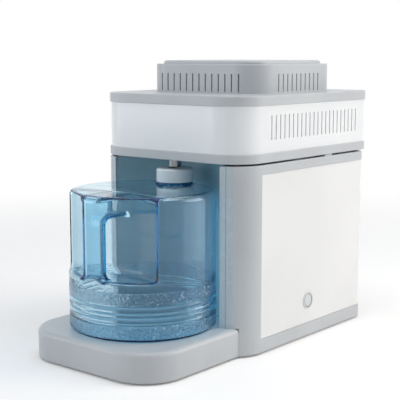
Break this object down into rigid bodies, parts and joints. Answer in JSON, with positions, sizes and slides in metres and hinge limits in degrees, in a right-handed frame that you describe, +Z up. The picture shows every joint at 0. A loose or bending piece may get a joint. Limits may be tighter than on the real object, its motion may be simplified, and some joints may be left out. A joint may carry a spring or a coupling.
{
  "type": "water distiller",
  "caption": "Countertop water distiller: boiler cabinet, hinged fan-cooled condenser head, drip spout and a clear blue jug with a grip on a front platform.",
  "frame": {"origin": "on the worktop under the middle of the whole outline", "axes": "+Z up, -Y towards the front where the jug stands, +X to the right"},
  "size_m": [0.24, 0.442, 0.3621],
  "materials": {
    "grey_plastic": "satin moulded plastic",
    "white_plastic": "smooth moulded plastic",
    "white_panel": "powder coated sheet",
    "alcove_plastic": "satin moulded plastic",
    "trim_plastic": "smooth moulded plastic",
    "clear_blue": "clear tinted blow moulding",
    "cap_white": "smooth moulded plastic",
    "silicone": "soft silicone",
    "black_rubber": "matte",
    "stainless": "brushed",
    "plated_steel": "zinc plated",
    "bright_tube": "drawn tube",
    "cast_alloy": "as cast",
    "fin_alloy": "rolled sheet",
    "brass": "bright",
    "black_plastic": "moulded",
    "motor_can": "black enamel",
    "carbon": "carbon felt pad",
    "red_lead": "insulated wire"
  },
  "bodies": {
    "root": {"base_platform": "grey_plastic", "base_pan": "grey_plastic", "rubber_feet": "black_rubber", "cabinet_frame": "grey_plastic", "side_panel_right": "white_panel", "side_panel_left": "white_panel", "rear_cover": "white_panel", "alcove_liner": "alcove_plastic", "alcove_trim_right": "trim_plastic", "alcove_trim_left": "trim_plastic", "deck_plate": "grey_plastic", "seam_pads": "grey_plastic", "badge_disc": "plated_steel", "boiler_well": "stainless", "boiler_pot": "stainless", "heater_plate": "cast_alloy", "heating_element": "bright_tube", "heater_stands": "plated_steel", "thermostat": "black_plastic", "thermal_cutout": "brass", "power_inlet": "black_plastic", "inlet_pins": "brass", "inlet_screws": "plated_steel", "button_bezel": "black_plastic", "start_switch": "black_plastic", "terminal_block": "white_plastic", "lead_wires": "red_lead", "cabinet_hinge_leaves": "plated_steel", "hinge_pins": "plated_steel", "cabinet_screws": "plated_steel"},
    "head": {"head_base": "grey_plastic", "head_wall": "white_plastic", "head_top": "grey_plastic", "fan_shroud": "grey_plastic", "shroud_lid": "grey_plastic", "steam_dome": "stainless", "rim_gasket": "silicone", "condenser_coil": "bright_tube", "condenser_fins": "fin_alloy", "fin_hangers": "plated_steel", "spout_nozzle": "bright_tube", "motor_bracket": "plated_steel", "fan_motor": "motor_can", "head_hinge_leaves": "plated_steel", "head_screws": "plated_steel"},
    "fan": {"motor_shaft": "bright_tube", "fan_rotor": "black_plastic"},
    "jug": {"jug_body": "clear_blue"},
    "cap": {"jug_cap": "cap_white", "neck_seal": "silicone", "filter_cup": "cap_white", "carbon_filter": "carbon"},
    "button": {"start_button": "black_plastic"}
  },
  "joints": [
    {"name": "head_tilt", "type": "hinge", "parent": "root", "child": "head", "pos_m": [0, 0.21645, 0.2335], "axis": [-1, 0, 0], "range_deg": [0, 75]},
    {"name": "fan_spin", "type": "hinge", "parent": "head", "child": "fan", "pos_m": [0, 0.0868, 0.33], "axis": [0, 0, 1], "continuous": true},
    {"name": "jug_slide", "type": "slide", "parent": "root", "child": "jug", "axis": [0, -1, 0], "range_m": [0, 0.2]},
    {"name": "cap_turn", "type": "hinge", "parent": "jug", "child": "cap", "pos_m": [0, -0.05335, 0.215], "axis": [0, 0, 1], "continuous": true},
    {"name": "button_press", "type": "slide", "parent": "root", "child": "button", "axis": [0, -1, 0], "range_m": [0, 0.003], "stiffness_N_per_m": 400, "springref_m": -0.001}
  ]
}
